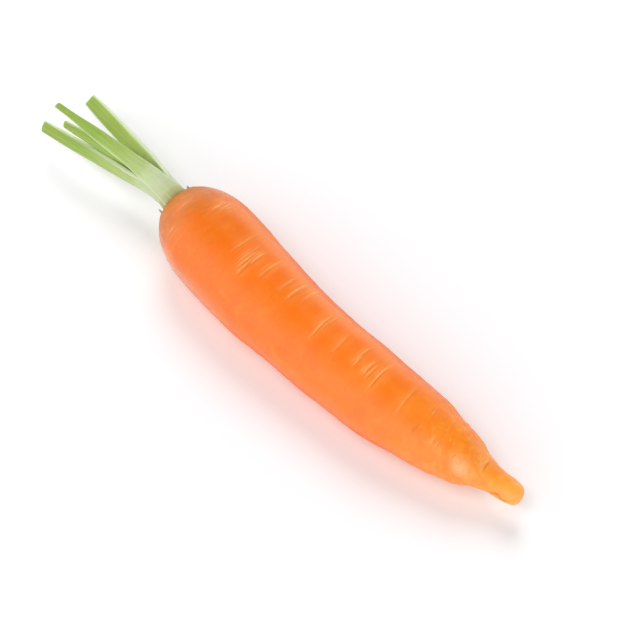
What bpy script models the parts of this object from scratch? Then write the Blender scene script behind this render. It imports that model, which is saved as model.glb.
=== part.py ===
"""A fresh carrot with its leaf stalks trimmed short, lying on its side.

Metres, +Z up. The root tip points to +X, the leaf stalks to -X, and the surface is z = 0.
The root is a turned outline that is bowed sideways, so its middle lies towards -Y. The stalks
stand in a rosette on the crown: three broad outer ones whose bases wrap the neck, and two inside.
"""

import math

import bmesh
import bpy
import numpy as np
from mathutils import Matrix

MM = 0.001

# The root's outline in mm: distance from the crown's rim along the root, and the radius there.
ROOT_OUTLINE = (
    (1.2, 0.0), (1.15, 4.2), (1.0, 6.7), (0.0, 7.5), (0.6, 9.0), (2.3, 11.4), (5.9, 14.4),
    (11.2, 17.2), (19.2, 19.3), (29.0, 19.8), (43.0, 19.6), (57.0, 19.0), (73.0, 17.8),
    (91.0, 17.15), (109.0, 17.0), (125.0, 16.3), (139.0, 14.5), (152.0, 12.2), (161.0, 10.0),
    (168.0, 7.3), (174.0, 5.3), (181.0, 4.9), (184.6, 4.3), (186.4, 2.6), (187.0, 0.0),
)
OUTLINE_STEPS = 2  # points between one outline point and the next
TURN_STEPS = 40
ROOT_BEND = math.radians(19.1)  # the turn of the root's axis from the crown to the tip
ROOT_SLOPE = math.radians(2.2)  # the axis drops towards the thinner tip, so the belly lies level
FLAT_DEPTH = 0.4 * MM  # how far the belly is pressed flat where it rests
ROOT_PLACE = (0.0366, -0.0031)  # x and y of the root's middle, which centre the whole carrot over 0, 0

# The surface that flattens the belly.
SURFACE_SIZE = (0.4, 0.2, 0.02)

# The rosette: turns round the neck are degrees from straight up towards +Y.
FACE_TURN = -21.0  # the side of the neck that the tips are measured from
NECK_SHIFT = 0.7  # mm that the neck stands off the crown's middle, across the face
NECK_LEAN = 0.04  # how far it leans across for each mm that it rises
NECK_GAP = 0.8 * MM  # between the crown's hollow and the stalks' bases
CROWN_HOLLOW = 1.2 * MM
RING_POINTS = 16
PATH_POINTS = 12

# Each stalk, in mm: ring and waist are the distance of its middle from the neck's axis at the base
# and at the fork; tip is (across, towards the face, along the neck); half, thick and wrap list
# (share of the length, value) of its half width, its thickness and the radius it is curled to.
STALKS = {
    "leaf_stalk_lower": {
        "turn": -123, "twist": 75, "ring": 5.3, "waist": 3.4, "fork": 11, "tip": (23.9, -1.5, 68.6),
        "half": ((0, 5.1), (0.13, 4.4), (0.25, 4.1), (0.45, 3.8), (0.7, 3.3), (0.88, 2.8), (1, 2.4)),
        "thick": ((0, 2.0), (0.15, 2.2), (0.4, 3.4), (1, 3.0)),
        "wrap": ((0, 5.4), (0.13, 4.8), (0.25, 6.0), (0.45, 14.0), (1, 16.0)),
        "colour": (0.35, 0.48, 0.1),
    },
    "leaf_stalk_front": {
        "turn": -9, "twist": 0, "ring": 5.3, "waist": 4.2, "fork": 12, "tip": (13.4, 9.0, 66.3),
        "half": ((0, 4.8), (0.13, 4.2), (0.28, 4.1), (0.42, 3.2), (0.69, 2.4), (0.85, 1.6), (1, 1.25)),
        "thick": ((0, 2.0), (0.3, 2.6), (1, 2.2)),
        "wrap": ((0, 5.3), (0.13, 4.7), (0.3, 5.0), (1, 4.0)),
        "colour": (0.43, 0.56, 0.14),
    },
    "leaf_stalk_upper": {
        "turn": 102, "twist": 42, "ring": 4.9, "waist": 3.5, "fork": 10, "tip": (2.2, -2.5, 64.6),
        "half": ((0, 5.0), (0.13, 4.2), (0.25, 3.9), (0.45, 3.9), (0.7, 3.7), (0.88, 3.4), (1, 2.7)),
        "thick": ((0, 2.0), (0.15, 2.2), (0.4, 3.2), (1, 3.0)),
        "wrap": ((0, 5.4), (0.13, 4.8), (0.25, 6.0), (0.45, 14.0), (1, 16.0)),
        "colour": (0.38, 0.5, 0.11),
    },
    "leaf_stalk_short": {
        "turn": -75, "twist": 0, "ring": 1.6, "waist": 0.95, "fork": 15, "tip": (16.0, 4.9, 59.6),
        "half": ((0, 1.9), (0.15, 1.6), (0.3, 2.4), (0.5, 3.3), (0.8, 2.7), (1, 1.7)),
        "thick": ((0, 1.9), (0.2, 1.4), (0.45, 2.1), (1, 2.1)),
        "wrap": ((0, 6.0), (0.3, 6.0), (1, 5.0)),
        "colour": (0.34, 0.45, 0.1),
    },
    "leaf_stalk_heart": {
        "turn": 105, "twist": 0, "ring": 1.6, "waist": 0.95, "fork": 17, "tip": (4.6, -1.0, 34.0),
        "half": ((0, 2.0), (0.3, 1.5), (1, 1.2)),
        "thick": ((0, 1.9), (0.3, 1.5), (1, 1.5)),
        "wrap": ((0, 6.0), (1, 4.0)),
        "colour": (0.5, 0.58, 0.24),
    },
}

# The withered stubs of two older leaves, which stand on the rim outside the neck.
SCALES = {
    "leaf_scale_upper": {
        "turn": 70, "twist": -60, "ring": 7.0, "waist": 7.0, "fork": 1.1, "tip": (-6.3, 1.5, 2.2),
        "half": ((0, 1.6), (0.5, 1.2), (1, 0.6)),
        "thick": ((0, 0.6), (1, 0.4)),
        "wrap": ((0, 7.9), (1, 6.0)),
        "colour": (0.42, 0.36, 0.24),
    },
    "leaf_scale_lower": {
        "turn": -118, "twist": 0, "ring": 7.9, "waist": 7.9, "fork": 1.2, "tip": (8.3, 0.0, 3.4),
        "half": ((0, 2.4), (0.5, 1.8), (1, 0.6)),
        "thick": ((0, 0.6), (1, 0.4)),
        "wrap": ((0, 7.9), (1, 6.0)),
        "colour": (0.72, 0.60, 0.36),
    },
}
SCALE_LIFT = 0.7 * MM  # the rim stands higher than the crown's hollow
STALK_EARLY = 0.2  # how early a stalk leaves the neck's direction after the fork, as a share

ROOT_COLOUR = (0.93, 0.20, 0.03)
STALK_ROUGHNESS = 0.45
ROOT_ROUGHNESS = 0.40


def clear_scene():
    for obj in list(bpy.data.objects):
        bpy.data.objects.remove(obj, do_unlink=True)


def new_collection(name):
    collection = bpy.data.collections.new(name)
    bpy.context.scene.collection.children.link(collection)
    return collection


def new_material(name, colour, roughness):
    material = bpy.data.materials.new(name)
    material.use_nodes = True
    shader = material.node_tree.nodes["Principled BSDF"]
    shader.inputs["Base Color"].default_value = (*colour, 1.0)
    shader.inputs["Roughness"].default_value = roughness
    shader.inputs["Metallic"].default_value = 0.0
    return material


def new_object(name, mesh, collection, parent=None):
    obj = bpy.data.objects.new(name, mesh)
    collection.objects.link(obj)
    obj.parent = parent
    return obj


def smooth_through(points, steps):
    """A Catmull-Rom curve through the points, with steps points for each span."""
    known = np.array(points, float)
    ends = np.vstack([2 * known[0] - known[1], known, 2 * known[-1] - known[-2]])
    share = (np.arange(steps) / steps)[:, None]
    spans = []
    for a, b, c, d in zip(ends, ends[1:], ends[2:], ends[3:]):
        cubic = 3 * b - 3 * c + d - a
        square = 2 * a - 5 * b + 4 * c - d
        spans.append(b + 0.5 * ((c - a) * share + square * share**2 + cubic * share**3))
    return np.vstack([*spans, known[-1:]])


def root_length():
    return ROOT_OUTLINE[-1][0] * MM


def bend_rate():
    """The axis turns by this much for each metre of the root."""
    return ROOT_BEND / root_length()


def axis_point(height):
    """(sideways, along) of the bowed axis, this far from the root's middle towards the crown."""
    turned = bend_rate() * height
    return (1 - math.cos(turned)) / bend_rate(), math.sin(turned) / bend_rate()


def axis_height():
    """The height of the root's middle that sinks its lowest place by FLAT_DEPTH."""
    needed = []
    for distance, radius in smooth_through(ROOT_OUTLINE, OUTLINE_STEPS) * MM:
        along = axis_point(root_length() / 2 - distance)[1]
        needed.append(radius * math.cos(ROOT_SLOPE) - along * math.sin(ROOT_SLOPE))
    return max(needed) - FLAT_DEPTH


def make_surface(collection):
    """A block under z = 0, which cuts the belly flat."""
    bpy.ops.mesh.primitive_cube_add(size=1.0)
    block = bpy.context.object
    block.name = "surface_cutter"
    block.data.transform(Matrix.Diagonal((*SURFACE_SIZE, 1.0)))
    block.location = (0.0, 0.0, -SURFACE_SIZE[2] / 2)
    block.hide_render = True
    block.display_type = "WIRE"
    for owner in list(block.users_collection):
        owner.objects.unlink(block)
    collection.objects.link(block)
    return block


def make_root(collection, surface):
    """The outline turned round the root's axis, bowed, laid down and pressed flat underneath."""
    outline = smooth_through(ROOT_OUTLINE, OUTLINE_STEPS) * MM
    points = [(max(radius, 0.0), 0.0, root_length() / 2 - distance) for distance, radius in outline]
    mesh = bpy.data.meshes.new("root")
    mesh.from_pydata(points, [(i, i + 1) for i in range(len(points) - 1)], [])
    root = new_object("root", mesh, collection)
    mesh.materials.append(new_material("carrot_skin", ROOT_COLOUR, ROOT_ROUGHNESS))
    root.location = (*ROOT_PLACE, axis_height())
    root.rotation_euler = (0.0, ROOT_SLOPE - math.pi / 2, 0.0)

    turn = root.modifiers.new("turn", "SCREW")
    turn.steps = TURN_STEPS
    turn.render_steps = TURN_STEPS
    turn.use_merge_vertices = True
    turn.merge_threshold = 0.00001
    turn.use_smooth_shade = True

    bow = root.modifiers.new("bow", "SIMPLE_DEFORM")
    bow.deform_method = "BEND"
    bow.deform_axis = "X"
    bow.angle = ROOT_BEND

    rest = root.modifiers.new("rest", "BOOLEAN")
    rest.operation = "DIFFERENCE"
    rest.solver = "EXACT"
    rest.object = surface
    return root


def make_crown(collection, root):
    """An empty at the middle of the crown's hollow, with Z out along the neck."""
    crown = new_object("crown", None, collection, root)
    depth = root_length() / 2 - CROWN_HOLLOW
    sideways, along = axis_point(depth)
    crown.location = (0.0, sideways, along)
    crown.rotation_euler = (-bend_rate() * depth, 0.0, 0.0)
    crown.empty_display_size = 10 * MM
    return crown


def round_neck(turn):
    """The direction out from the neck's axis at this turn, in degrees."""
    return np.array([math.cos(math.radians(turn)), math.sin(math.radians(turn)), 0.0])


def stalk_path(shape, lift):
    """Points and directions of a cubic curve: up the neck from the base, then out to the tip."""
    outward = round_neck(shape["turn"])
    over_face = round_neck(FACE_TURN - 90)
    base = outward * shape["ring"] + NECK_SHIFT * over_face
    risen = NECK_SHIFT + NECK_LEAN * shape["fork"]
    fork = outward * shape["waist"] + risen * over_face + (0, 0, shape["fork"])
    across, toward, along = shape["tip"]
    tip = across * over_face + toward * round_neck(FACE_TURN) + (0, 0, along)
    leaving = fork + STALK_EARLY * (tip - fork)
    t = np.linspace(0, 1, PATH_POINTS)[:, None]
    points = (1 - t) ** 3 * base + 3 * (1 - t) ** 2 * t * fork + 3 * (1 - t) * t**2 * leaving + t**3 * tip
    ahead = (1 - t) ** 2 * (fork - base) + 2 * (1 - t) * t * (leaving - fork) + t**2 * (tip - leaving)
    ahead /= np.linalg.norm(ahead, axis=1, keepdims=True)
    return points * MM + (0, 0, lift), ahead


def stalk_rings(shape, lift):
    """Rings of points round the path. A section is an ellipse curled round the neck's side."""
    points, ahead = stalk_path(shape, lift)
    steps = np.linalg.norm(np.diff(points, axis=0), axis=1)
    share = np.concatenate([[0.0], np.cumsum(steps)]) / steps.sum()
    outward = round_neck(shape["turn"])
    outward = outward - (ahead @ outward)[:, None] * ahead
    outward /= np.linalg.norm(outward, axis=1, keepdims=True)
    across = np.cross(ahead, outward)
    twist = (math.radians(shape["twist"]) * share)[:, None]
    outward, across = (
        outward * np.cos(twist) + across * np.sin(twist),
        across * np.cos(twist) - outward * np.sin(twist),
    )

    def value(key):
        shares, values = np.array(shape[key], float).T
        return np.interp(share, shares, values)[:, None] * MM

    round_ring = 2 * math.pi * np.arange(RING_POINTS) / RING_POINTS
    curl = value("half") * np.cos(round_ring) / value("wrap")
    reach = value("wrap") + value("thick") / 2 * np.sin(round_ring)
    sideways = (reach * np.sin(curl))[..., None] * across[:, None, :]
    outwards = (reach * np.cos(curl) - value("wrap"))[..., None] * outward[:, None, :]
    return points[:, None, :] + sideways + outwards


def make_stalk(name, shape, lift, collection, crown):
    """A loft through the rings, closed at the base and at the cut end."""
    work = bmesh.new()
    rings = [[work.verts.new(point) for point in ring] for ring in stalk_rings(shape, lift)]
    for low, high in zip(rings, rings[1:]):
        for i in range(RING_POINTS):
            after = (i + 1) % RING_POINTS
            work.faces.new((low[i], low[after], high[after], high[i]))
    work.faces.new(rings[0])
    work.faces.new(rings[-1])
    bmesh.ops.recalc_face_normals(work, faces=work.faces)
    mesh = bpy.data.meshes.new(name)
    work.to_mesh(mesh)
    work.free()
    mesh.shade_smooth()
    mesh.set_sharp_from_angle(angle=math.radians(50))
    mesh.materials.append(new_material(name, shape["colour"], STALK_ROUGHNESS))
    return new_object(name, mesh, collection, crown)


def main():
    clear_scene()
    cutters = new_collection("cutters")
    parts = new_collection("carrot")
    root = make_root(parts, make_surface(cutters))
    crown = make_crown(parts, root)
    for name, shape in STALKS.items():
        make_stalk(name, shape, NECK_GAP, parts, crown)
    for name, shape in SCALES.items():
        make_stalk(name, shape, NECK_GAP + SCALE_LIFT, parts, crown)


main()
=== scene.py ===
import math

import bpy
import numpy as np
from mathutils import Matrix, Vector


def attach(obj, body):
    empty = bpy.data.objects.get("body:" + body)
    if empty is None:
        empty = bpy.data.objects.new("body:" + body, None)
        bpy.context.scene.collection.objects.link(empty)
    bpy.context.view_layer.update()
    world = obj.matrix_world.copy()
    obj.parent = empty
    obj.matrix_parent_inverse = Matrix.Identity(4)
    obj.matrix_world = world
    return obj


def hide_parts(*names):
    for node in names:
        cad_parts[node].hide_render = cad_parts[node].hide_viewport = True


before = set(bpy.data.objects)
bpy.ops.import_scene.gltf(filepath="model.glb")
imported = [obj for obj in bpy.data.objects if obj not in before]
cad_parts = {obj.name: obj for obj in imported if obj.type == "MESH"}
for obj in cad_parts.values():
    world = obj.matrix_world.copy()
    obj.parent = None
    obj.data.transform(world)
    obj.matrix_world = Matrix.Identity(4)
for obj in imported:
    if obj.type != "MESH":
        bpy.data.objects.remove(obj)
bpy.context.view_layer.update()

mm = 0.001  # the tables below are in millimetres and degrees

# A fresh carrot on its side. The root tip points to +X, the cut leaf stalks to -X, the table is z = 0.


def throughPoints(points, count):
    # in each span the cubic leaves a point along the line between that point's two neighbours
    known = np.array(points, float)
    ends = np.vstack([2 * known[0] - known[1], known, 2 * known[-1] - known[-2]])
    place = np.linspace(0, len(known) - 1, count)
    span = np.minimum(place.astype(int), len(known) - 2)
    t = (place - span)[:, None]
    a, b, c, d = (ends[span + i] for i in range(4))
    bent = (c - a) * t + (2 * a - 5 * b + 4 * c - d) * t**2 + (3 * b - 3 * c + d - a) * t**3
    return b + 0.5 * bent


def lengthAlong(points):
    steps = np.linalg.norm(np.diff(points, axis=0), axis=1)
    return np.concatenate([[0.0], np.cumsum(steps)])


def evenlySpaced(curve, count):
    # the same curve, with its points the same length apart
    length = lengthAlong(curve)
    at = np.linspace(0, length[-1], count)
    return np.stack([np.interp(at, length, column) for column in curve.T], 1)


def swell(along, turn, sizes, seed, count=16):
    # a sum of cosine waves of random length, direction and start, about 1 high; whole waves go round
    random = np.random.default_rng(seed)
    total = 0.0
    for _ in range(count):
        length = random.uniform(*sizes)
        start = random.uniform(0, 2 * math.pi)
        total = total + np.cos(2 * math.pi * along / length + random.integers(-4, 5) * turn + start)
    return total / math.sqrt(count)


def meshOf(name, points, ends, attributes):
    # one vertex for each place on the grid of rows and columns, closed round the columns.
    # An end row is a pole, where its points are one, or a fold, where its two halves meet.
    rows, columns = points.shape[:2]
    index = np.arange(rows * columns).reshape(rows, columns)
    column = np.arange(columns)
    for row in (0, -1):
        index[row] = index[row, 0] if ends == "pole" else index[row, np.minimum(column, columns - column)]
    a, d = index[:-1], index[1:]
    faces = np.stack([a, np.roll(a, -1, 1), np.roll(d, -1, 1), d], -1).reshape(-1, 4)
    used, faces = np.unique(faces, return_inverse=True)
    faces = faces.reshape(-1, 4)
    flatPoints = points.reshape(-1, 3)[used] * mm
    corners = flatPoints[faces]
    volume = np.einsum("ij,ij->", corners[:, 0], np.cross(corners[:, 1], corners[:, 2]))
    volume += np.einsum("ij,ij->", corners[:, 0], np.cross(corners[:, 2], corners[:, 3]))
    if volume < 0:
        faces = faces[:, ::-1]
    startPole, endPole = faces[:, 0] == faces[:, 1], faces[:, 2] == faces[:, 3]
    triangles = faces[startPole][:, 1:].tolist() + faces[endPole][:, :3].tolist()
    everyFace = faces[~(startPole | endPole)].tolist() + triangles
    mesh = bpy.data.meshes.new(name)
    mesh.from_pydata(flatPoints.tolist(), [], everyFace)
    for key, values in attributes.items():
        kind, field = ("FLOAT_VECTOR", "vector") if values.ndim == 3 else ("FLOAT", "value")
        made = mesh.attributes.new(key, kind, "POINT")
        flat = values.reshape(rows * columns, -1)[used]
        made.data.foreach_set(field, np.ascontiguousarray(flat, np.float32).ravel())
    mesh.shade_smooth()
    mesh.validate()
    piece = bpy.data.objects.new(name, mesh)
    bpy.context.scene.collection.objects.link(piece)
    return piece


rootForm = {
    "outline": (  # distance from the crown's rim along the root, and the radius there
        (1.2, 0.0), (1.15, 4.2), (1.0, 6.7), (0.0, 7.5), (0.6, 9.0), (2.3, 11.4), (5.9, 14.4),
        (11.2, 17.2), (19.2, 19.3), (29.0, 19.8), (43.0, 19.6), (57.0, 19.0), (73.0, 17.8),
        (91.0, 17.15), (109.0, 17.0), (125.0, 16.3), (139.0, 14.5), (152.0, 12.2), (161.0, 10.0),
        (168.0, 7.3), (174.0, 5.3), (181.0, 4.9), (184.6, 4.3), (186.4, 2.6), (187.0, 0.0),
    ),
    "length": 187.0,
    "bend": 19.1,  # how far its axis turns from the crown to the tip
    "slope": 2.2,  # the axis drops towards the thinner tip
    "pressed": 0.4,  # how far the belly is flat where it rests
    "middle": (36.6, -3.1),
    "hollow": 1.2,  # depth of the crown's hollow, where the stalks grow
    "sway": (  # distance along the root, and how far its axis lies off the bow's arc
        (0, 0.0), (40, -0.3), (85, 0.0), (105, 0.8), (122, 0.7), (138, 1.6), (150, 1.4), (165, 1.1),
        (187, 0.8),
    ),
    "rows": 960,
    "columns": 100,
    # unevenness: the lengths of its waves, its seed, and its height
    "lumps": ((28, 75), 3, 0.16),
    "tipLumps": ((9, 22), 5, 0.15),
    "dents": ((8, 19), 6, 0.045),
    "wrinkle": ((3.0, 7.0), 8, 0.018),
    "furrows": 0.20,  # the wrinkles that run out from the neck over the crown
    "furrowsAt": (10.5, 3.2),  # their middle and half width, along the surface from the axis
    "bodyFrom": ((0, 6), (16, 28)),  # where marks and lumps set in, by radius and along the surface
    "tipFrom": (132, 150),  # where the thin end's own lumps set in
    "tipEnd": 5,  # and how far before its end they fade out
    "paintedHighlight": (38, 10),  # middle and half turn of a paler strip, a painted highlight on the upper side
    "paintedReflection": ((-96, 17), (29, 17)),  # the same of a pale patch of painted reflection on the edge, and its distance and half length
}

skinMarks = {
    # the cross marks that side roots leave, on the upper side: distance, middle turn, half turn, strength
    "upper": (
        (9.6, -12, 12, 0.8), (14.2, -50, 10, 0.45), (19.4, 19, 10, 1.0), (20.9, 26, 9, 0.8),
        (39.4, 10, 18, 0.5), (44.6, 3, 17, 0.7), (45.8, -3, 13, 1.0), (48.1, 8, 11, 0.9),
        (47.5, -12, 10, 0.7), (54.6, 11, 17, 0.7), (63.8, 14, 13, 0.5), (68.3, 19, 18, 0.8),
        (72.9, 31, 18, 0.5), (85.8, 5, 20, 0.9), (87.5, 22, 12, 0.5), (96.4, 3, 16, 0.5),
        (105.8, 12, 13, 0.6), (106.4, -2, 9, 0.7), (111.4, 0, 13, 0.8), (113.2, -2, 12, 0.6),
        (116.6, 1, 19, 1.0), (130.5, -4, 24, 0.5), (141.7, 14, 9, 0.5), (147.6, -28, 8, 0.4),
        (150.0, -31, 7, 0.4), (168.5, 3, 24, 0.9),
    ),
    "dark": (  # short dark cracks: the same four values
        (140.1, -30, 10, 0.9), (141.7, 16, 6, 0.8), (157.6, -30, 7, 0.9), (179.0, -70, 18, 0.8),
        (31.0, -20, 3, 0.8), (12.5, 24, 5, 0.7), (60.5, -34, 2.5, 0.7), (99.0, -22, 2.5, 0.6),
        (17.2, 4, 7, 0.9), (18.8, -6, 5, 0.9), (15.6, 12, 6, 0.7), (21.4, 6, 6, 0.8), (13.0, -14, 6, 0.8),
    ),
    "paleSpot": (161.6, -43, 21, 3.5),  # distance, middle turn, half turn and half length of a rubbed spot
    "spotEdge": 2.6,  # the power that makes the spot flatter than a bell
    "tipCrack": (179.6, -82, 8, 4.0),  # a dark line along the thin end: the same four values
    "tipCrackDepth": 1.5,
    "crackWidth": 0.38,
    "ranks": (116.0, 176.0, -132.0),  # turns of the other rows of marks, hidden from above
    "perRank": 9,
    "rankLength": (14.0, 168.0),
    "clusters": {  # in those rows: how far each cluster strays, then its lines' number and variety
        "along": 6, "round": 14, "lines": (1, 5), "apart": (3.5, 7), "half": (7, 20), "strength": (0.3, 1.0),
    },
    "companion": (0.6, 0.45),  # a mark stronger than this has a line beside it, of this share
    "seed": 11,
    "width": 0.40,  # of one line, from its middle
    "widths": (0.7, 1.4),  # each line's own share of that, at random
    "sweep": 1.0,  # mm that a mark strays from a ring, by the cosine of the turn from its own zero
    "sweepZero": -21.8,  # the turn where that cosine is 1
    "slitPlace": 1.9,  # from the pale line to the dark one beside it, in widths
    "slitWidth": 0.8,
    "waistWidth": 2.4,
    "scuffWidth": 3.4,
    "scuffLength": 1.3,  # of every half turn
    "wander": (0.09, 0.12),  # mm that it wavers, in short and in long waves
    "stretch": 1.25,  # of every half turn, as a line fades out before its end
    "lip": 0.06,  # height of the pale line
    "slit": 0.07,  # depth of the dark line beside it
    "waist": 0.07,  # how far the skin sinks round a mark
}


def layDown(up, side, out):
    # leans the root's own axes over: out towards the crown becomes -X, and up stays up but for the slope
    slope = math.radians(rootForm["slope"])
    x = up * math.sin(slope) - out * math.cos(slope) + rootForm["middle"][0]
    z = up * math.cos(slope) + out * math.sin(slope) + rootForm["height"]
    return np.stack([x, side + rootForm["middle"][1], z], -1)


def bowed(up, side, out):
    # the straight axis becomes a circle's arc, and a point keeps its distance from it
    turned = out * rootForm["rate"]
    reach = 1 / rootForm["rate"] - side
    return layDown(up, 1 / rootForm["rate"] - reach * np.cos(turned), reach * np.sin(turned))


def fromCrown(points):
    # the crown's axes (up, side, out along the neck) are turned with the end of the arc, then laid down
    depth = rootForm["length"] / 2 - rootForm["hollow"]
    turned = depth * rootForm["rate"]
    up, side, out = np.moveaxis(points, -1, 0)
    bowSide = (1 - math.cos(turned)) / rootForm["rate"]
    bowOut = math.sin(turned) / rootForm["rate"]
    return layDown(
        up,
        bowSide + side * math.cos(turned) + out * math.sin(turned),
        bowOut - side * math.sin(turned) + out * math.cos(turned),
    )


def settleRoot():
    # the height at which the lowest place on the belly is pressed flat by the wanted depth
    rootForm["rate"] = math.radians(rootForm["bend"]) / rootForm["length"]
    slope = math.radians(rootForm["slope"])
    distance, radius = throughPoints(rootForm["outline"], 400).T
    out = np.sin((rootForm["length"] / 2 - distance) * rootForm["rate"]) / rootForm["rate"]
    needed = radius * math.cos(slope) - out * math.sin(slope)
    rootForm["height"] = needed.max() - rootForm["pressed"]


def apart(turn, middle):
    # degrees from one turn to another, the short way round
    return (turn - middle + 180) % 360 - 180


def bell(off, power=2):
    return np.exp(-(np.abs(off) ** power))


def rising(value, low, high):
    return np.clip((value - low) / (high - low), 0, 1)


def drawMarks(distance, turn):
    # each mark is a pale lip with a dark slit on its tip side, both bells across, fading to its two ends
    random = np.random.default_rng(skinMarks["seed"])
    marks = []
    for place, middle, half, strength in skinMarks["upper"]:
        marks.append((place, middle, half, strength))
        least, weaker = skinMarks["companion"]
        if strength > least:
            side = random.choice([-1.0, 1.0])
            marks.append((place + side * random.uniform(0.9, 1.6), middle + random.uniform(-8, 8),
                          half * random.uniform(0.4, 0.7), strength * weaker))
    clusters = skinMarks["clusters"]
    along, around = clusters["apart"]
    for rank in skinMarks["ranks"]:
        for place in np.linspace(*skinMarks["rankLength"], skinMarks["perRank"]):
            place = place + random.uniform(-clusters["along"], clusters["along"])
            middle = rank + random.uniform(-clusters["round"], clusters["round"])
            for _ in range(random.integers(*clusters["lines"])):
                marks.append((place + random.uniform(-along, along), middle + random.uniform(-around, around),
                              random.uniform(*clusters["half"]), random.uniform(*clusters["strength"])))
    lip = np.zeros_like(distance)
    slit = np.zeros_like(distance)
    waist = np.zeros_like(distance)
    scuff = np.zeros_like(distance)
    for place, middle, half, strength in marks:
        off = apart(turn, middle)
        share = np.clip(1 - (off / (skinMarks["stretch"] * half)) ** 2, 0, None)
        short, long = skinMarks["wander"]
        angle = np.radians(off)
        wander = short * np.sin(angle * 9 + place) + long * np.sin(angle * 4 + 7 * place)
        strays = np.cos(np.radians(turn - skinMarks["sweepZero"]))
        strays = skinMarks["sweep"] * (strays - math.cos(math.radians(middle - skinMarks["sweepZero"])))
        across = distance - place - strays - wander
        width = skinMarks["width"] * random.uniform(*skinMarks["widths"])
        lip = np.maximum(lip, strength * share**0.8 * bell(across / width))
        beside = (across - skinMarks["slitPlace"] * width) / (skinMarks["slitWidth"] * width)
        slit = np.maximum(slit, strength * share * bell(beside))
        waist = np.maximum(waist, strength * share * bell(across / skinMarks["waistWidth"]))
        wide = bell(off / half / skinMarks["scuffLength"])
        scuff = np.maximum(scuff, strength * wide * bell(across / skinMarks["scuffWidth"]))
    for place, middle, half, strength in skinMarks["dark"]:
        off = apart(turn, middle) / half
        bend = place + 0.3 * np.sin(3 * off)
        slit = np.maximum(slit, strength * bell(off) * bell((distance - bend) / skinMarks["crackWidth"]))
    place, middle, half, reach = skinMarks["tipCrack"]
    off = (apart(turn, middle) + 9 * np.sin(distance - place)) / half
    crack = bell(off) * bell((distance - place) / reach, 4)
    slit = np.maximum(slit, skinMarks["tipCrackDepth"] * crack)
    place, middle, half, reach = skinMarks["paleSpot"]
    off = apart(turn, middle) / half
    slanting = (distance - place) / reach + 0.5 * off
    spot = bell(off, skinMarks["spotEdge"]) * bell(slanting, skinMarks["spotEdge"])
    return lip, slit, waist, scuff, spot


def growRoot():
    # an outline turned about an axis: (distance, radius) at each turn, moved out along the outline's normal
    fine = throughPoints(rootForm["outline"], 4000)
    outline = evenlySpaced(fine, rootForm["rows"])
    slope = np.gradient(outline, axis=0)
    slope /= np.linalg.norm(slope, axis=1, keepdims=True)
    turn = np.linspace(-math.pi, math.pi, rootForm["columns"], endpoint=False)
    turn, distance = np.meshgrid(turn, outline[:, 0])
    radius = np.repeat(outline[:, 1:], rootForm["columns"], 1)
    degrees = np.degrees(turn)
    surface = lengthAlong(outline)[:, None] + 0 * turn

    lip, slit, waist, scuff, spot = drawMarks(distance, degrees)
    fromRadius, fromSurface = rootForm["bodyFrom"]
    body = rising(radius, *fromRadius) * rising(surface, *fromSurface)
    lip, slit, waist, scuff = lip * body, slit * body, waist * body, scuff * body
    tipward = rising(distance, *rootForm["tipFrom"])
    tipward = tipward * rising(rootForm["length"] - distance, 0, rootForm["tipEnd"])

    def uneven(name):
        sizes, seed, most = rootForm[name]
        return swell(distance, turn, sizes, seed) * most

    lumps = (uneven("lumps") + uneven("dents")) * body + uneven("tipLumps") * tipward
    wrinkle = uneven("wrinkle") * (body + 2 * tipward)
    middle, half = rootForm["furrowsAt"]
    rim = bell((surface - middle) / half)
    furrow = np.cos(27 * turn + 2.5 * np.sin(3 * turn + 1)) * np.cos(5 * turn + 0.6)
    height = lumps + wrinkle + rim * furrow * rootForm["furrows"]
    height += lip * skinMarks["lip"] - slit * skinMarks["slit"] - waist * skinMarks["waist"]

    distance2 = distance - slope[:, 1:] * height
    radius2 = radius + slope[:, :1] * height
    up, side = radius2 * np.cos(turn), radius2 * np.sin(turn)
    place, sway = throughPoints(rootForm["sway"], 300).T
    points = bowed(up, side + np.interp(distance, place, sway), rootForm["length"] / 2 - distance2)
    points[..., 2] = np.maximum(points[..., 2], 0)
    straight = np.stack([up, side, distance2], -1) * mm
    paintedHighlight, paintedHighlightHalf = rootForm["paintedHighlight"]
    (paintedReflection, paintedReflectionHalf), (place, reach) = rootForm["paintedReflection"]
    return meshOf("carrot_root", points, "pole", {
        "straight": straight,
        "share": distance / rootForm["length"],
        "rim": surface,
        "upward": np.cos(turn - math.radians(skinMarks["sweepZero"])),
        # painted highlight: a paler strip along the upper +Y side
        "paintedHighlight": bell((degrees - paintedHighlight) / paintedHighlightHalf),
        # painted reflection: a pale grey-pink patch on the -Y side by the crown
        "paintedReflection": bell((degrees - paintedReflection) / paintedReflectionHalf) * bell((distance - place) / reach),
        "lip": lip,
        "slit": slit,
        "scuff": scuff,
        "spot": spot,
    })


neck = {
    "face": -21.0,  # the turn that the tips' two sideways distances are measured from
    "shift": 0.7,  # how far the neck stands off the crown's middle, across the face
    "lean": 0.04,  # how far it leans across for each mm that it rises
    "gap": 0.8,  # between the crown's hollow and the stalks' bases
    "early": 0.2,  # how early a stalk leaves the neck's direction, as a share
    "scaleLift": 0.7,
}

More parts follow.
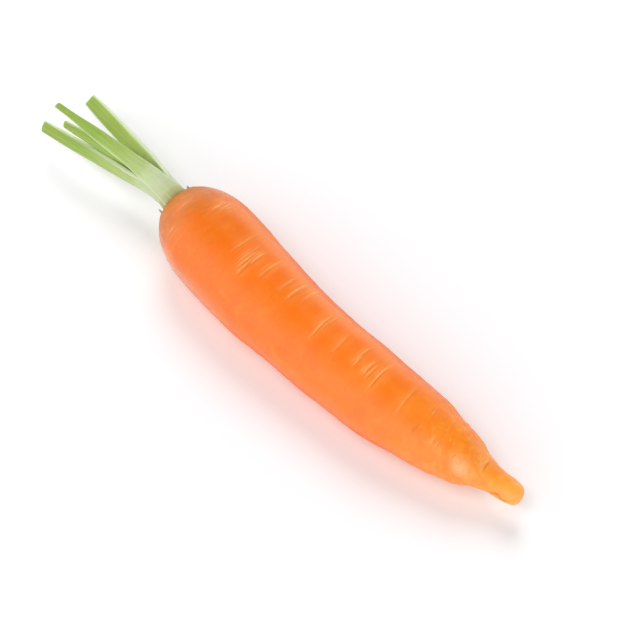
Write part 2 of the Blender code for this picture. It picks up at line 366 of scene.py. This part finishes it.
leafStalks = {
    # ring and waist: distance from the neck's axis at the base and at the fork; tip: across, towards, along.
    # half, thick and wrap: (share of the length, half width, thickness, radius that it is curled to).
    "lower": {
        "turn": -123, "twist": 75, "ring": 5.3, "waist": 3.4, "fork": 11, "tip": (23.9, -1.5, 68.6),
        "half": ((0, 5.3), (0.13, 5.2), (0.25, 4.8), (0.45, 4.0), (0.7, 3.4), (0.88, 2.8), (1, 2.4)),
        "thick": ((0, 2.0), (0.15, 2.2), (0.4, 3.4), (1, 3.0)),
        "wrap": ((0, 5.4), (0.13, 4.8), (0.25, 6.0), (0.45, 14.0), (1, 16.0)),
        "groove": 0.15, "ribs": 7, "ribHeight": 0.10, "slant": 0.2, "seed": 21,
    },
    "front": {
        "turn": -9, "twist": 0, "ring": 5.3, "waist": 4.2, "fork": 12, "tip": (13.4, 9.0, 66.3),
        "half": ((0, 5.9), (0.13, 5.0), (0.28, 4.1), (0.42, 3.2), (0.69, 2.4), (0.85, 1.6), (1, 1.25)),
        "thick": ((0, 2.0), (0.3, 2.6), (1, 2.2)),
        "wrap": ((0, 6.2), (0.13, 5.5), (0.3, 5.4), (1, 4.0)),
        "groove": 0.4, "ribs": 7, "ribHeight": 0.10, "slant": -0.2, "seed": 22,
    },
    "upper": {
        "turn": 102, "twist": 42, "ring": 4.9, "waist": 3.5, "fork": 10, "tip": (2.2, -2.5, 64.6),
        "half": ((0, 5.2), (0.13, 4.8), (0.25, 4.4), (0.45, 4.0), (0.7, 3.8), (0.88, 3.4), (1, 2.8)),
        "thick": ((0, 2.0), (0.15, 2.2), (0.4, 3.2), (1, 3.0)),
        "wrap": ((0, 5.4), (0.13, 4.8), (0.25, 6.0), (0.45, 14.0), (1, 16.0)),
        "groove": 0.15, "ribs": 7, "ribHeight": 0.10, "slant": 0.2, "seed": 23,
    },
    "short": {
        "turn": -75, "twist": 0, "ring": 1.6, "waist": 0.95, "fork": 15, "tip": (16.0, 4.9, 59.6),
        "half": ((0, 1.9), (0.15, 1.6), (0.3, 2.4), (0.5, 3.3), (0.8, 2.7), (1, 1.7)),
        "thick": ((0, 1.9), (0.2, 1.4), (0.45, 2.1), (1, 2.1)),
        "wrap": ((0, 6.0), (0.3, 6.0), (1, 5.0)),
        "groove": 0.4, "ribs": 5, "ribHeight": 0.10, "slant": 0.2, "seed": 24,
    },
    "heart": {
        "turn": 105, "twist": 0, "ring": 1.6, "waist": 0.95, "fork": 17, "tip": (4.6, -1.0, 34.0),
        "half": ((0, 2.0), (0.3, 1.5), (1, 1.2)),
        "thick": ((0, 1.9), (0.3, 1.5), (1, 1.5)),
        "wrap": ((0, 6.0), (1, 4.0)),
        "groove": 0.4, "ribs": 4, "ribHeight": 0.08, "slant": 0.2, "seed": 25,
    },
}

leafScales = {
    "upper": {
        "turn": 70, "twist": -60, "ring": 7.0, "waist": 7.0, "fork": 1.1, "tip": (-6.3, 1.5, 2.2),
        "half": ((0, 1.6), (0.5, 1.2), (1, 0.6)),
        "thick": ((0, 0.6), (1, 0.4)),
        "wrap": ((0, 7.9), (1, 6.0)),
        "groove": 0.3, "ribs": 3, "ribHeight": 0.05, "slant": 0.4, "seed": 31,
    },
    "lower": {
        "turn": -118, "twist": 0, "ring": 7.9, "waist": 7.9, "fork": 1.2, "tip": (8.3, 0.0, 3.4),
        "half": ((0, 2.4), (0.5, 1.8), (1, 0.6)),
        "thick": ((0, 0.6), (1, 0.4)),
        "wrap": ((0, 7.9), (1, 6.0)),
        "groove": 0.3, "ribs": 4, "ribHeight": 0.05, "slant": -0.4, "seed": 32,
    },
}

stalkGrid = {
    "rows": 110,
    "columns": 96,
    "capRows": 7,
    "bulge": (1.2, 0.6),  # of the outer and the inner side, as shares of half the thickness
    "square": 0.75,  # the power that makes a section fuller than an ellipse
    "waver": 0.02,  # how far the width wavers, as a share
    "grooveWidth": 0.42,
    "rounding": 0.03,  # how far the width draws in at the very ends
    "cutBulge": (0.22, 0.30),  # mm by which the cut's edge swells and its middle sinks
    "slantFrom": (0.9, 1.0),  # the share of the length where the cut's slant sets in
    "trim": 0.2,  # mm by which a stalk ends short of its path
}


def roundNeck(turn):
    return np.array([math.cos(math.radians(turn)), math.sin(math.radians(turn)), 0.0])


def growStalk(name, form, lift):
    # a cubic path from the base up the neck to the tip, with an ellipse curled round the neck along it
    outward = roundNeck(form["turn"])
    overFace = roundNeck(neck["face"] - 90)
    base = outward * form["ring"] + neck["shift"] * overFace
    risen = neck["shift"] + neck["lean"] * form["fork"]
    fork = outward * form["waist"] + risen * overFace + (0, 0, form["fork"])
    across, toward, along = form["tip"]
    tip = across * overFace + toward * roundNeck(neck["face"]) + (0, 0, along)
    leaving = fork + neck["early"] * (tip - fork)
    t = np.linspace(0, 1, stalkGrid["rows"])[:, None]
    path = (1 - t) ** 3 * base + 3 * (1 - t) ** 2 * t * fork + 3 * (1 - t) * t**2 * leaving + t**3 * tip
    ahead = (1 - t) ** 2 * (fork - base) + 2 * (1 - t) * t * (leaving - fork) + t**2 * (tip - leaving)
    ahead /= np.linalg.norm(ahead, axis=1, keepdims=True)
    share = lengthAlong(path)
    length = share[-1]
    share = share / length

    # the end rows are repeated with the section closing up to its own middle line, which shuts each end
    caps = stalkGrid["capRows"]
    closing = np.sin(np.linspace(math.pi / 2, 0, caps + 1)[1:])
    order = np.concatenate([np.zeros(caps, int), np.arange(len(path)), np.full(caps, len(path) - 1)])
    full = np.concatenate([closing[::-1], np.ones(len(path)), closing])[:, None]
    atTip = (np.arange(len(order)) >= caps + len(path))[:, None]
    path, ahead, share = path[order], ahead[order], share[order][:, None]

    outward = outward - (ahead @ outward)[:, None] * ahead
    outward /= np.linalg.norm(outward, axis=1, keepdims=True)
    sideways = np.cross(ahead, outward)
    twist = np.radians(form["twist"]) * share
    outward, sideways = (
        outward * np.cos(twist) + sideways * np.sin(twist),
        sideways * np.cos(twist) - outward * np.sin(twist),
    )

    def value(key):
        known = throughPoints(form[key], 300)
        return np.interp(share, known[:, 0], known[:, 1])

    ring = 2 * math.pi * np.arange(stalkGrid["columns"]) / stalkGrid["columns"]
    breadth = np.cos(ring) + 0 * share
    outerBulge, innerBulge = stalkGrid["bulge"]
    face = np.where(np.sin(ring) > 0, outerBulge, -innerBulge) * np.abs(np.sin(ring)) ** stalkGrid["square"]
    face = face + 0 * share
    outer = np.clip(np.sin(ring), 0, 1) + 0 * share
    random = np.random.default_rng(form["seed"])
    start = random.uniform(0, 6, 3)
    half = value("half") * (1 + stalkGrid["waver"] * np.sin(9 * share + start[0]))
    rib = np.cos(math.pi * form["ribs"] * breadth + 0.4 * np.sin(5 * share + start[1]))
    hollow = form["groove"] * bell(breadth / stalkGrid["grooveWidth"]) * np.clip(share * 6 - 0.6, 0, 1)
    thick = value("thick") / 2 * face * np.where(face < 0, 1 - hollow, 1.0)
    thick = (thick + outer**0.5 * rib * form["ribHeight"]) * full
    curl = half * breadth * (1 - stalkGrid["rounding"] * (1 - full)) / value("wrap")
    reach = value("wrap") + thick
    out = (reach * np.cos(curl) - value("wrap"))[..., None] * outward[:, None, :]
    over = (reach * np.sin(curl))[..., None] * sideways[:, None, :]
    swelling, sinking = stalkGrid["cutBulge"]
    cut = np.where(atTip, swelling * np.sqrt(1 - full**2) - sinking * (1 - full), 0.0)
    cut = cut - stalkGrid["trim"] * share
    slant = form["slant"] * breadth * rising(share, *stalkGrid["slantFrom"])
    onward = (cut + slant)[..., None] * ahead[:, None, :]
    points = path[:, None, :] + out + over + onward + (0, 0, lift)
    straight = np.stack([half * breadth, thick, share * length + cut + 0 * breadth], -1) * mm
    return meshOf(name, fromCrown(points), "fold", {
        "straight": straight,
        "share": share + 0 * breadth,
        "breadth": breadth,
        "inner": np.clip(-np.sin(ring), 0, 1) + 0 * share,
        "cutFace": np.where(atTip, 1 - full, 0.0) + 0 * breadth,
    })


def put(tree, kind, inputs, **settings):
    # one node: settings are its own choices, inputs are values or the sockets that feed it
    made = tree.nodes.new("ShaderNode" + kind)
    for key, value in settings.items():
        setattr(made, key, value)
    for key, value in inputs.items():
        if isinstance(value, bpy.types.NodeSocket):
            tree.links.new(value, made.inputs[key])
        else:
            made.inputs[key].default_value = value
    return made


def rgb(colour):
    return (*colour, 1.0)


def mixColour(tree, factor, under, over):
    return put(tree, "Mix", {0: factor, 6: under, 7: over}, data_type="RGBA").outputs[2]


def sums(tree, operation, first, second=0.0, third=0.0):
    return put(tree, "Math", {0: first, 1: second, 2: third}, operation=operation).outputs[0]


def layer(tree, under, mask, finish):
    # lays a colour over what is there, by its mask times its own weight
    colour, weight = finish
    return mixColour(tree, sums(tree, "MULTIPLY", mask, weight), under, rgb(colour))


def between(tree, value, low, high, least=0.0, most=1.0):
    inputs = {"Value": value, "From Min": low, "From Max": high, "To Min": least, "To Max": most}
    return put(tree, "MapRange", inputs, interpolation_type="SMOOTHSTEP").outputs[0]


def attribute(tree, name, output="Fac"):
    return put(tree, "Attribute", {}, attribute_name=name).outputs[output]


def ramp(tree, value, stops):
    made = put(tree, "ValToRGB", {0: value})
    band = made.color_ramp
    band.interpolation = "EASE"
    while len(band.elements) < len(stops):
        band.elements.new(0.5)
    for element, (place, colour) in zip(band.elements, stops):
        element.position = place
        element.color = rgb(colour)
    return made.outputs[0]


def newGroup(name, inputs, outputs):
    tree = bpy.data.node_groups.new(name, "ShaderNodeTree")
    for label, kind, value in inputs:
        socket = tree.interface.new_socket(label, in_out="INPUT", socket_type="NodeSocket" + kind)
        socket.default_value = value
    for label, kind in outputs:
        tree.interface.new_socket(label, in_out="OUTPUT", socket_type="NodeSocket" + kind)
    return tree, tree.nodes.new("NodeGroupInput").outputs, tree.nodes.new("NodeGroupOutput").inputs


def makeFibres():
    # noise drawn out by unlike scales on the three axes: lines that run where the scale is small
    tree, given, result = newGroup(
        "fibres",
        [("Vector", "Vector", (0, 0, 0)), ("Scales", "Vector", (1, 1, 1)), ("Detail", "Float", 4.0),
         ("Low", "Float", 0.4), ("High", "Float", 0.6)],
        [("Mask", "Float"), ("Height", "Float")],
    )
    drawn = put(tree, "VectorMath", {0: given["Vector"], 1: given["Scales"]}, operation="MULTIPLY")
    noise = put(tree, "TexNoise", {"Vector": drawn.outputs[0], "Scale": 1.0, "Detail": given["Detail"],
                                   "Roughness": 0.6})
    tree.links.new(noise.outputs[0], result["Height"])
    tree.links.new(between(tree, noise.outputs[0], given["Low"], given["High"]), result["Mask"])
    return tree


def makeBlotches():
    # soft-edged patches: noise pushed about by coarser noise, then cut between two levels
    tree, given, result = newGroup(
        "blotches",
        [("Vector", "Vector", (0, 0, 0)), ("Size", "Float", 0.01), ("Low", "Float", 0.45),
         ("High", "Float", 0.6)],
        [("Mask", "Float"), ("Height", "Float")],
    )
    scaled = sums(tree, "DIVIDE", 1.0, given["Size"])
    noise = put(tree, "TexNoise", {"Vector": given["Vector"], "Scale": scaled, "Detail": 3.0,
                                   "Roughness": 0.55, "Distortion": 0.6})
    tree.links.new(noise.outputs[0], result["Height"])
    tree.links.new(between(tree, noise.outputs[0], given["Low"], given["High"]), result["Mask"])
    return tree


def roughen(tree, shader, height, amount):
    # a bump that is too fine for the mesh
    strength, distance = amount
    bump = put(tree, "Bump", {"Height": height, "Strength": strength, "Distance": distance})
    tree.links.new(bump.outputs[0], shader.inputs["Normal"])


def newMaterial(name):
    material = bpy.data.materials.new(name)
    material.use_nodes = True
    return material, material.node_tree, material.node_tree.nodes["Principled BSDF"]


skinFinish = {
    "along": (  # share of the length, colour
        (0.0, (0.42, 0.150, 0.014)), (0.05, (0.62, 0.158, 0.009)), (0.11, (0.81, 0.165, 0.007)),
        (0.30, (0.90, 0.175, 0.009)), (0.66, (0.92, 0.195, 0.012)), (0.82, (0.94, 0.262, 0.022)),
        (0.93, (0.95, 0.345, 0.036)), (1.0, (0.95, 0.42, 0.075)),
    ),
    # layers from the lowest up: a colour, and how much of it shows where its mask is full
    "deep": ((0.93, 0.120, 0.005), 0.28),
    "light": ((0.97, 0.290, 0.028), 0.35),
    # painted shade: a deeper, redder tone on the sides that face away from the top
    "under": ((0.80, 0.130, 0.007), 0.55),
    # painted highlight: a paler strip along the upper side
    "paintedHighlight": ((0.97, 0.290, 0.028), 0.42),
    # painted reflection: a pale grey-pink patch on the -Y side by the crown
    "paintedReflection": ((0.62, 0.36, 0.27), 0.60),
    "speck": ((0.97, 0.290, 0.028), 0.12),
    "line": ((0.97, 0.290, 0.028), 0.22),
    "mottle": ((0.90, 0.175, 0.012), 0.38),
    "freckle": ((0.98, 0.42, 0.070), 0.30),
    "shoulder": ((0.60, 0.16, 0.014), 0.55),
    "run": ((0.60, 0.16, 0.014), 0.35),
    "worn": ((0.42, 0.115, 0.010), 0.30),
    "collar": ((0.27, 0.16, 0.018), 0.90),
    "seam": ((0.14, 0.085, 0.012), 0.70),
    "rubbed": ((0.98, 0.52, 0.18), 1.0),
    "spot": ((0.98, 0.50, 0.23), 0.72),
    "dot": ((0.55, 0.12, 0.012), 0.45),
    "lip": ((0.98, 0.52, 0.18), 0.66),
    "slit": ((0.55, 0.12, 0.012), 0.55),
    "roughness": 0.18,
    "lipRoughness": 0.18,  # added on the pale lines
    "mattRoughness": 0.35,  # added at the crown and underneath
    "bump": (0.35, 0.0002),  # strength, distance
    "subsurface": 0.06,
    "subsurfaceRadius": (0.0045, 0.0014, 0.0004),
    "refraction": 1.48,
}


def dressRoot(piece):
    material, tree, shader = newMaterial("carrotSkin")
    straight = attribute(tree, "straight", "Vector")
    share = attribute(tree, "share")
    lip = attribute(tree, "lip")
    slit = attribute(tree, "slit")
    scuff = attribute(tree, "scuff")
    rim = attribute(tree, "rim")
    upward = attribute(tree, "upward")

    def blotch(size, low, high):
        return put(tree, "Group", {"Vector": straight, "Size": size, "Low": low, "High": high},
                   node_tree=blotches).outputs

    def rings(scales, low, high, detail=4.0):
        return put(tree, "Group", {"Vector": straight, "Scales": scales, "Low": low, "High": high,
                                   "Detail": detail}, node_tree=fibres).outputs

    def times(first, second):
        return sums(tree, "MULTIPLY", first, second)

    def lay(under, name, mask):
        return layer(tree, under, mask, skinFinish[name])

    deep = blotch(0.016, 0.46, 0.66)
    colour = lay(ramp(tree, share, skinFinish["along"]), "deep", deep["Mask"])
    colour = lay(colour, "light", blotch(0.011, 0.52, 0.72)["Mask"])
    # painted shade: deeper and redder on the sides that face away from the top, along the middle of the root
    under = times(between(tree, share, 0.20, 0.36), between(tree, share, 0.86, 0.66))
    colour = lay(colour, "under", times(between(tree, upward, 0.50, 0.28), under))
    # painted highlight: a paler strip along the upper side, from near the crown to past the middle
    paintedHighlight = times(between(tree, share, 0.06, 0.16), between(tree, share, 0.72, 0.58))
    colour = lay(colour, "paintedHighlight", times(attribute(tree, "paintedHighlight"), paintedHighlight))
    # painted reflection: a pale grey-pink patch on the -Y side by the crown, broken up by blotches
    paintedReflection = sums(tree, "MULTIPLY_ADD", blotch(0.006, 0.35, 0.60)["Mask"], 0.5, 0.5)
    colour = lay(colour, "paintedReflection", times(paintedReflection, attribute(tree, "paintedReflection")))
    speck = blotch(0.0016, 0.50, 0.70)
    colour = lay(colour, "speck", speck["Mask"])
    line = rings((45, 45, 1300), 0.56, 0.72)  # fine pale rings round the root
    colour = lay(colour, "line", line["Mask"])

    # the thin end is blotched, but for its own cut tip
    tipward = times(between(tree, share, 0.66, 0.84), between(tree, share, 0.97, 0.90))
    colour = lay(colour, "mottle", times(blotch(0.0036, 0.44, 0.56)["Mask"], tipward))
    colour = lay(colour, "freckle", times(blotch(0.0021, 0.52, 0.64)["Mask"], tipward))

    # olive and brown tones over the shoulder, which thin out away from the neck
    shoulder = blotch(0.007, 0.42, 0.60)["Mask"]
    colour = lay(colour, "shoulder", times(shoulder, between(tree, rim, 36, 11)))
    run = rings((420, 420, 60), 0.42, 0.62)["Mask"]  # lines that run down from the neck
    colour = lay(colour, "run", times(run, between(tree, rim, 26, 9)))
    worn = blotch(0.0034, 0.50, 0.57)["Mask"]
    colour = lay(colour, "worn", times(worn, between(tree, rim, 34, 15)))
    uneven = sums(tree, "MULTIPLY_ADD", deep["Height"], 6.0, rim)
    colour = lay(colour, "collar", between(tree, uneven, 13.4, 10.0))
    colour = lay(colour, "seam", between(tree, rim, 12.2, 10.4))  # where the skin meets the neck

    rubbed = rings((60, 60, 2300), 0.50, 0.62, 3.0)["Mask"]  # finer lines beside the marks
    colour = lay(colour, "rubbed", times(sums(tree, "MULTIPLY_ADD", rubbed, 0.45, 0.10), scuff))
    patchy = sums(tree, "MULTIPLY_ADD", blotch(0.0026, 0.30, 0.52)["Mask"], 0.5, 0.5)
    colour = lay(colour, "spot", times(attribute(tree, "spot"), patchy))
    cells = put(tree, "TexVoronoi", {"Vector": straight, "Scale": 150.0})
    chosen = put(tree, "SeparateColor", {0: cells.outputs["Color"]}).outputs[0]
    dot = times(between(tree, cells.outputs["Distance"], 0.085, 0.03), between(tree, chosen, 0.84, 0.88))
    colour = lay(colour, "dot", dot)
    broken = sums(tree, "MULTIPLY_ADD", rings((500, 500, 500), 0.30, 0.55)["Mask"], 0.65, 0.35)
    colour = lay(colour, "lip", times(lip, broken))
    colour = lay(colour, "slit", slit)
    tree.links.new(colour, shader.inputs["Base Color"])

    rough = sums(tree, "MULTIPLY_ADD", speck["Height"], 0.08, skinFinish["roughness"])
    rough = sums(tree, "MULTIPLY_ADD", lip, skinFinish["lipRoughness"], rough)
    matt = sums(tree, "MAXIMUM", between(tree, rim, 26, 12), between(tree, upward, 0.45, 0.15))
    rough = sums(tree, "MULTIPLY_ADD", matt, skinFinish["mattRoughness"], rough)
    tree.links.new(rough, shader.inputs["Roughness"])

    height = times(rings((1500, 1500, 1500), 0.3, 0.7)["Height"], 0.25)
    height = sums(tree, "MULTIPLY_ADD", line["Height"], 0.55, height)
    height = sums(tree, "MULTIPLY_ADD", speck["Height"], 0.5, height)
    roughen(tree, shader, height, skinFinish["bump"])
    shader.inputs["Subsurface Weight"].default_value = skinFinish["subsurface"]
    shader.inputs["Subsurface Radius"].default_value = skinFinish["subsurfaceRadius"]
    shader.inputs["Subsurface Scale"].default_value = 1.0
    shader.inputs["IOR"].default_value = skinFinish["refraction"]
    piece.data.materials.append(material)


stalkFinish = {
    "along": {  # share of the length, colour, from the neck to the cut end
        "outer": (
            (0.0, (0.27, 0.22, 0.07)), (0.05, (0.45, 0.43, 0.20)), (0.09, (0.53, 0.57, 0.34)),
            (0.16, (0.54, 0.61, 0.40)), (0.25, (0.53, 0.62, 0.34)), (0.34, (0.42, 0.52, 0.20)),
            (0.50, (0.345, 0.48, 0.115)), (0.72, (0.285, 0.42, 0.064)), (1.0, (0.29, 0.38, 0.060)),
        ),
        # inner side: pale at the neck as the stalks' bases are, and paler still there as painted light that
        # lifts the shade between the stalks
        "inner": (
            (0.0, (0.66, 0.68, 0.40)), (0.14, (0.78, 0.84, 0.56)), (0.30, (0.58, 0.67, 0.30)),
            (0.50, (0.53, 0.65, 0.19)), (0.80, (0.37, 0.49, 0.085)), (1.0, (0.28, 0.40, 0.045)),
        ),
    },
    # layers from the lowest up: a colour, and how much of it shows where its mask is full
    "patch": ((0.27, 0.41, 0.06), 0.22),
    "vein": ((0.55, 0.67, 0.25), 0.42),
    "dark": ((0.27, 0.41, 0.06), 1.0),
    "margin": ((0.72, 0.79, 0.56), 0.75),
    "cut": (0.66, 0.74, 0.36),
    "pith": (0.82, 0.86, 0.58),
    "roughness": 0.34,
    "bump": (0.4, 0.0002),
    "subsurface": 0.35,
    "subsurfaceRadius": (0.0020, 0.0028, 0.0008),
}


def dressStalk(piece):
    material, tree, shader = newMaterial(piece.name + "Skin")
    straight = attribute(tree, "straight", "Vector")
    share = attribute(tree, "share")
    breadth = sums(tree, "ABSOLUTE", attribute(tree, "breadth"))
    inner = attribute(tree, "inner")
    cutFace = attribute(tree, "cutFace")

    def streaks(scales, low, high):
        return put(tree, "Group", {"Vector": straight, "Scales": scales, "Low": low, "High": high},
                   node_tree=fibres).outputs

    def lay(under, name, mask):
        return layer(tree, under, mask, stalkFinish[name])

    # the inner ramp holds painted light near the neck, over the pale base colour
    colour = mixColour(tree, between(tree, inner, 0.1, 0.6),
                       ramp(tree, share, stalkFinish["along"]["outer"]),
                       ramp(tree, share, stalkFinish["along"]["inner"]))
    patch = put(tree, "Group", {"Vector": straight, "Size": 0.006, "Low": 0.4, "High": 0.7},
                node_tree=blotches).outputs
    colour = lay(colour, "patch", patch["Mask"])
    pale = streaks((1500, 1500, 22), 0.50, 0.66)
    colour = lay(colour, "vein", pale["Mask"])
    dark = streaks((1150, 1150, 15), 0.54, 0.70)["Mask"]
    green = sums(tree, "MULTIPLY_ADD", between(tree, share, 0.12, 0.40), 0.30, 0.10)
    colour = lay(colour, "dark", sums(tree, "MULTIPLY", dark, green))
    colour = lay(colour, "margin", between(tree, breadth, 0.74, 0.97))
    dots = put(tree, "TexVoronoi", {"Vector": straight, "Scale": 1100.0})
    pith = mixColour(tree, between(tree, dots.outputs["Distance"], 0.2, 0.45),
                     rgb(stalkFinish["pith"]), rgb(stalkFinish["cut"]))
    colour = mixColour(tree, between(tree, cutFace, 0.02, 0.15), colour, pith)
    tree.links.new(colour, shader.inputs["Base Color"])

    rough = sums(tree, "MULTIPLY_ADD", pale["Height"], 0.18, stalkFinish["roughness"])
    tree.links.new(rough, shader.inputs["Roughness"])
    height = sums(tree, "MULTIPLY_ADD", patch["Height"], 0.3, pale["Height"])
    roughen(tree, shader, height, stalkFinish["bump"])
    shader.inputs["Subsurface Weight"].default_value = stalkFinish["subsurface"]
    shader.inputs["Subsurface Radius"].default_value = stalkFinish["subsurfaceRadius"]
    shader.inputs["Subsurface Scale"].default_value = 1.0
    piece.data.materials.append(material)


scaleFinish = {
    "upper": {
        "dry": (0.52, 0.51, 0.42), "lines": ((0.26, 0.23, 0.17), 0.6), "patch": ((0.26, 0.23, 0.17), 0.4),
    },
    "lower": {
        "dry": (0.72, 0.66, 0.42), "lines": ((0.42, 0.30, 0.14), 0.6), "patch": ((0.42, 0.30, 0.14), 0.4),
    },
    "roughness": 0.6,
    "bump": (0.6, 0.0002),
}


def dressScale(piece, finish):
    material, tree, shader = newMaterial(piece.name + "Skin")
    straight = attribute(tree, "straight", "Vector")
    lines = put(tree, "Group", {"Vector": straight, "Scales": (2400, 2400, 200), "Low": 0.42, "High": 0.62},
                node_tree=fibres).outputs
    patch = put(tree, "Group", {"Vector": straight, "Size": 0.0012, "Low": 0.45, "High": 0.65},
                node_tree=blotches).outputs
    colour = layer(tree, rgb(finish["dry"]), lines["Mask"], finish["lines"])
    colour = layer(tree, colour, patch["Mask"], finish["patch"])
    tree.links.new(colour, shader.inputs["Base Color"])
    rough = sums(tree, "MULTIPLY_ADD", lines["Height"], 0.2, scaleFinish["roughness"])
    tree.links.new(rough, shader.inputs["Roughness"])
    roughen(tree, shader, lines["Height"], scaleFinish["bump"])
    piece.data.materials.append(material)


studio = {
    "floor": (0.97, 0.965, 0.985),
    "floorSide": 8.0,
    "floorRoughness": 0.45,
    "worldLow": 1.35,  # brightness at the horizon
    "worldHigh": 0.05,  # and overhead
    "worldFade": (0.25, 1.0),  # heights between which the one becomes the other
    "worldTilt": 0.26,  # how far the bright band rises towards -Y
    "lights": {  # direction to the light (turn from +X, height), distance, size, power
        "back": ((130, 54), 2.8, 1.5, 31.0),
        "key": ((-95, 70), 3.0, 1.5, 24.0),
    },
}

cameraPlace = {
    "azimuth": 44.1,
    "elevation": 60.9,
    "distance": 0.9133,
    "aim": (0.0144, 0.0134, 0.0),
    "lens": 126.9,
}


def towards(turn, height):
    # the direction with this turn from +X and this height above the floor
    turn, height = math.radians(turn), math.radians(height)
    level = math.cos(height)
    return Vector((math.cos(turn) * level, math.sin(turn) * level, math.sin(height)))


def setStage():
    half = studio["floorSide"] / 2
    corners = [(-half, -half, 0), (half, -half, 0), (half, half, 0), (-half, half, 0)]
    mesh = bpy.data.meshes.new("floor")
    mesh.from_pydata(corners, [], [(0, 1, 2, 3)])
    floor = bpy.data.objects.new("floor", mesh)
    bpy.context.scene.collection.objects.link(floor)
    material, tree, shader = newMaterial("paleFloor")
    shader.inputs["Base Color"].default_value = rgb(studio["floor"])
    shader.inputs["Roughness"].default_value = studio["floorRoughness"]
    mesh.materials.append(material)

    world = bpy.data.worlds.new("studio")
    world.use_nodes = True
    bpy.context.scene.world = world
    tree = world.node_tree
    direction = put(tree, "SeparateXYZ", {0: put(tree, "TexCoord", {}).outputs["Generated"]}).outputs
    height = sums(tree, "MULTIPLY_ADD", direction["Y"], studio["worldTilt"], direction["Z"])
    strength = between(tree, height, *studio["worldFade"], studio["worldLow"], studio["worldHigh"])
    tree.links.new(strength, tree.nodes["Background"].inputs["Strength"])
    tree.nodes["Background"].inputs["Color"].default_value = (1, 1, 1, 1)

    for name, (place, distance, size, power) in studio["lights"].items():
        data = bpy.data.lights.new(name, "AREA")
        data.shape = "DISK"
        data.size = size
        data.energy = power
        light = bpy.data.objects.new(name, data)
        light.location = towards(*place) * distance
        light.rotation_euler = towards(*place).to_track_quat("Z", "Y").to_euler()
        light.visible_camera = False
        light.visible_glossy = False  # only the world and the floor show in the skin
        bpy.context.scene.collection.objects.link(light)


def setCamera():
    back = towards(cameraPlace["azimuth"] - 90, cameraPlace["elevation"])
    data = bpy.data.cameras.new("camera")
    data.lens = cameraPlace["lens"]
    data.sensor_width = 36.0
    camera = bpy.data.objects.new("camera", data)
    camera.location = Vector(cameraPlace["aim"]) + back * cameraPlace["distance"]
    camera.rotation_euler = back.to_track_quat("Z", "Y").to_euler()
    bpy.context.scene.collection.objects.link(camera)
    bpy.context.scene.camera = camera
    bpy.context.scene.view_settings.view_transform = "Standard"


settleRoot()
fibres = makeFibres()
blotches = makeBlotches()

root = growRoot()
dressRoot(root)
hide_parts("root")
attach(root, "root")
print("root:", len(root.data.polygons), "faces")

for name, form in leafStalks.items():
    stalk = growStalk("stalk_" + name, form, neck["gap"])
    dressStalk(stalk)
    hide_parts("leaf_stalk_" + name)
    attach(stalk, "root")
    print(stalk.name, len(stalk.data.polygons), "faces")

for name, form in leafScales.items():
    scale = growStalk("scale_" + name, form, neck["gap"] + neck["scaleLift"])
    dressScale(scale, scaleFinish[name])
    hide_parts("leaf_scale_" + name)
    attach(scale, "root")
    print(scale.name, len(scale.data.polygons), "faces")

setStage()
setCamera()
print("stage set")
